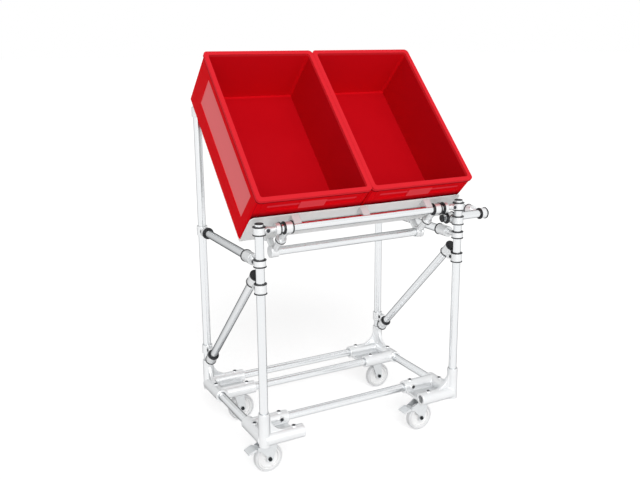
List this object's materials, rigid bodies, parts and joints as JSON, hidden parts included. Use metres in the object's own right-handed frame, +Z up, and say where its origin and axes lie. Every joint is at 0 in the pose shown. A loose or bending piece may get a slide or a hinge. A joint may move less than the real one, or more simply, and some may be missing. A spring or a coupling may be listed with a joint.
{
  "type": "picking rack",
  "caption": "Mobile tube-and-connector picking rack on swivel castors, with tilted red containers on a lipped tray and a side push handle",
  "frame": {"origin": "on the floor, under the middle of the overall box", "axes": "+X runs to the side with the push handle, +Y runs from the picking side to the back, +Z is up"},
  "size_m": [0.9716, 0.5858, 1.3818],
  "materials": {
    "tube_steel": "bright zinc plated round tube",
    "cast_alloy": "fine blasted die casting",
    "black_plastic": "moulded, satin",
    "zinc_steel": "zinc plated pressings and bolts",
    "black_steel": "black plated bolt",
    "white_sheet": "powder coated sheet, satin",
    "white_plastic": "moulded, satin",
    "red_plastic": "moulded, half gloss",
    "grey_rubber": "non-marking tread, matt"
  },
  "bodies": {
    "frame": {"post_fl": "tube_steel", "post_fr": "tube_steel", "post_rl": "tube_steel", "post_rr": "tube_steel", "base_tube_front": "tube_steel", "base_tube_rear": "tube_steel", "base_tube_rear_inner": "tube_steel", "base_tube_left": "tube_steel", "base_tube_right": "tube_steel", "side_rail_left": "tube_steel", "side_rail_right": "tube_steel", "brace_left": "tube_steel", "brace_right": "tube_steel", "upper_front_rail": "tube_steel", "lower_front_rail": "tube_steel", "rear_top_rail": "tube_steel", "slope_tube_left": "tube_steel", "slope_tube_right": "tube_steel", "handle_stub_front": "tube_steel", "handle_stub_rear": "tube_steel", "handle_grip": "tube_steel", "corner_fl": "cast_alloy", "corner_fr": "cast_alloy", "corner_rl": "cast_alloy", "corner_rr": "cast_alloy", "top_rail_tees": "cast_alloy", "side_rail_tees": "cast_alloy", "handle_tees": "cast_alloy", "cradle_tees": "cast_alloy", "brace_clamps": "cast_alloy", "handle_clamps": "cast_alloy", "cradle_upper_clamps": "cast_alloy", "cradle_lower_clamps": "cast_alloy", "swivel_washers": "black_plastic", "sleeve_rings": "black_plastic", "tube_caps": "black_plastic", "clamp_bolts": "zinc_steel", "tray_panel": "white_sheet", "panel_clips": "white_plastic", "castor_plates": "zinc_steel"},
    "bin_left": {"bin_left": "red_plastic"},
    "bin_right": {"bin_right": "red_plastic"},
    "castor_fl": {"castor_fl_fork": "zinc_steel", "castor_fl_axle": "black_steel"},
    "wheel_fl": {"castor_fl_wheel": "white_plastic", "castor_fl_tyre": "grey_rubber"},
    "pedal_fl": {"castor_fl_pedal": "zinc_steel"},
    "castor_fr": {"castor_fr_fork": "zinc_steel", "castor_fr_axle": "black_steel"},
    "wheel_fr": {"castor_fr_wheel": "white_plastic", "castor_fr_tyre": "grey_rubber"},
    "pedal_fr": {"castor_fr_pedal": "zinc_steel"},
    "castor_rl": {"castor_rl_fork": "zinc_steel", "castor_rl_axle": "black_steel"},
    "wheel_rl": {"castor_rl_wheel": "white_plastic", "castor_rl_tyre": "grey_rubber"},
    "castor_rr": {"castor_rr_fork": "zinc_steel", "castor_rr_axle": "black_steel"},
    "wheel_rr": {"castor_rr_wheel": "white_plastic", "castor_rr_tyre": "grey_rubber"}
  },
  "joints": [
    {"name": "bin_left_lift", "type": "slide", "parent": "frame", "child": "bin_left", "axis": [0, -0.7193, 0.6947], "range_m": [0, 0.3]},
    {"name": "bin_right_lift", "type": "slide", "parent": "frame", "child": "bin_right", "axis": [0, -0.7193, 0.6947], "range_m": [0, 0.3]},
    {"name": "swivel_fl", "type": "hinge", "parent": "frame", "child": "castor_fl", "pos_m": [-0.37372, -0.18657, 0.116], "axis": [0, 0, 1], "continuous": true},
    {"name": "roll_fl", "type": "hinge", "parent": "castor_fl", "child": "wheel_fl", "pos_m": [-0.40772, -0.18657, 0.05], "axis": [0, 1, 0], "continuous": true},
    {"name": "brake_fl", "type": "hinge", "parent": "castor_fl", "child": "pedal_fl", "pos_m": [-0.44378, -0.18657, 0.09298], "axis": [0, -1, 0], "range_deg": [0, 22]},
    {"name": "swivel_fr", "type": "hinge", "parent": "frame", "child": "castor_fr", "pos_m": [0.24528, -0.18657, 0.116], "axis": [0, 0, 1], "continuous": true},
    {"name": "roll_fr", "type": "hinge", "parent": "castor_fr", "child": "wheel_fr", "pos_m": [0.21128, -0.18657, 0.05], "axis": [0, 1, 0], "continuous": true},
    {"name": "brake_fr", "type": "hinge", "parent": "castor_fr", "child": "pedal_fr", "pos_m": [0.17522, -0.18657, 0.09298], "axis": [0, -1, 0], "range_deg": [0, 22]},
    {"name": "swivel_rl", "type": "hinge", "parent": "frame", "child": "castor_rl", "pos_m": [-0.37372, 0.21143, 0.116], "axis": [0, 0, 1], "continuous": true},
    {"name": "roll_rl", "type": "hinge", "parent": "castor_rl", "child": "wheel_rl", "pos_m": [-0.33972, 0.21143, 0.05], "axis": [0, 1, 0], "continuous": true},
    {"name": "swivel_rr", "type": "hinge", "parent": "frame", "child": "castor_rr", "pos_m": [0.24528, 0.21143, 0.116], "axis": [0, 0, 1], "continuous": true},
    {"name": "roll_rr", "type": "hinge", "parent": "castor_rr", "child": "wheel_rr", "pos_m": [0.27928, 0.21143, 0.05], "axis": [0, 1, 0], "continuous": true}
  ]
}
